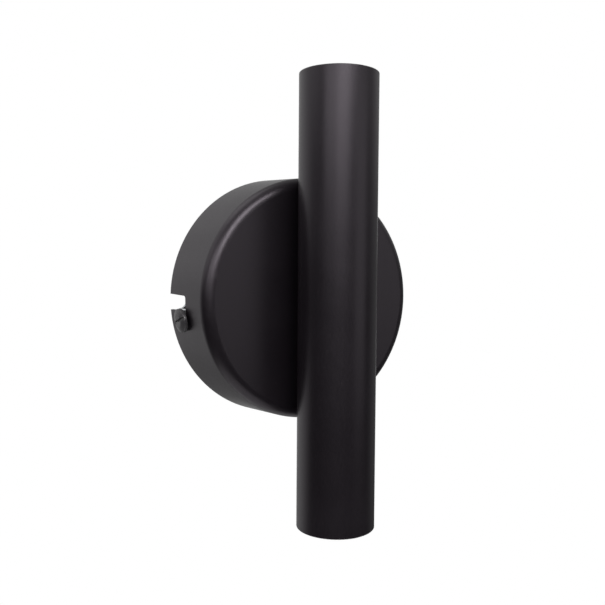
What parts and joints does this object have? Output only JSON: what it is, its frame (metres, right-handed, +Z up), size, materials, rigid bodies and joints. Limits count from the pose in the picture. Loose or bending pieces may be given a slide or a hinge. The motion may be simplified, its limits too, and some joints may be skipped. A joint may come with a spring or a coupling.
{
  "type": "tube wall light",
  "caption": "Up-and-down wall light: an open vertical tube across the front of a shallow round cup, held on a wall bracket by slotted side screws.",
  "frame": {"origin": "middle of the bracket's cable hole, on the wall, which is the middle of the cup", "axes": "+Z up along the tube, +Y into the wall, +X to the right of someone who faces the light"},
  "size_m": [0.1036, 0.0605, 0.1745],
  "materials": {
    "black_coat": "satin",
    "black_screw": "satin",
    "black_rubber": "matte",
    "zinc_plate": "satin",
    "zinc_rod": "satin",
    "zinc_screw": "satin",
    "spring_steel": "satin",
    "brass_plate": "satin",
    "brass_nut": "satin",
    "brass_clamp": "satin",
    "tinned_tag": "satin",
    "contact_strip": "satin",
    "bush_plastic": "matte",
    "block_plastic": "satin",
    "holder_ceramic": "matte",
    "bulb_clear": "gloss",
    "bulb_white": "satin",
    "pin_wire": "satin",
    "light_board": "satin",
    "earth_sleeve": "satin",
    "live_sleeve": "satin",
    "neutral_sleeve": "satin"
  },
  "bodies": {
    "wall_mount": {"mounting_bracket": "zinc_plate", "bracket_earth_screw": "brass_plate", "bracket_earth_washer": "spring_steel", "bracket_earth_ring": "tinned_tag"},
    "lamp_head": {"back_cup": "black_coat", "tube_shell": "black_coat", "tube_spacer": "black_rubber", "hollow_nipple": "zinc_rod", "nipple_bushes": "bush_plastic", "cup_nut": "brass_nut", "cup_lock_washer": "spring_steel", "tube_nut": "brass_nut", "tube_lock_washer": "spring_steel", "terminal_strap": "zinc_plate", "terminal_block": "block_plastic", "terminal_clamps": "brass_clamp", "terminal_screws": "zinc_screw", "terminal_block_screws": "zinc_screw", "head_earth_screw": "brass_plate", "head_earth_washer": "spring_steel", "head_earth_ring": "tinned_tag", "head_earth_lead": "earth_sleeve", "bracket_earth_lead": "earth_sleeve", "lampholder_bridge": "zinc_plate", "upper_lampholder": "holder_ceramic", "lower_lampholder": "holder_ceramic", "upper_holder_contacts": "contact_strip", "lower_holder_contacts": "contact_strip", "upper_holder_screws": "zinc_screw", "lower_holder_screws": "zinc_screw", "upper_live_lead": "live_sleeve", "upper_neutral_lead": "neutral_sleeve", "lower_live_lead": "live_sleeve", "lower_neutral_lead": "neutral_sleeve"},
    "left_screw": {"left_side_screw": "black_screw"},
    "right_screw": {"right_side_screw": "black_screw"},
    "upper_bulb": {"upper_bulb_envelope": "bulb_clear", "upper_bulb_base": "bulb_white", "upper_bulb_pins": "pin_wire", "upper_bulb_board": "light_board"},
    "lower_bulb": {"lower_bulb_envelope": "bulb_clear", "lower_bulb_base": "bulb_white", "lower_bulb_pins": "pin_wire", "lower_bulb_board": "light_board"}
  },
  "joints": [
    {"name": "cup_bayonet_turn", "type": "hinge", "parent": "wall_mount", "child": "lamp_head", "pos_m": [0, 0, 0], "axis": [0, -1, 0], "range_deg": [0, 7.6], "deforming": ["bracket_earth_lead"]},
    {"name": "left_screw_turn", "type": "hinge", "parent": "wall_mount", "child": "left_screw", "pos_m": [-0.04927, -0.0108, -0.00807], "axis": [-0.9869, 0, -0.1616], "range_deg": [0, 450]},
    {"name": "right_screw_turn", "type": "hinge", "parent": "wall_mount", "child": "right_screw", "pos_m": [0.04927, -0.0108, 0.00807], "axis": [0.9869, 0, 0.1616], "range_deg": [0, 450]},
    {"name": "upper_bulb_pull", "type": "slide", "parent": "lamp_head", "child": "upper_bulb", "axis": [0, 0, 1], "range_m": [0, 0.065]},
    {"name": "lower_bulb_pull", "type": "slide", "parent": "lamp_head", "child": "lower_bulb", "axis": [0, 0, -1], "range_m": [0, 0.065]}
  ]
}
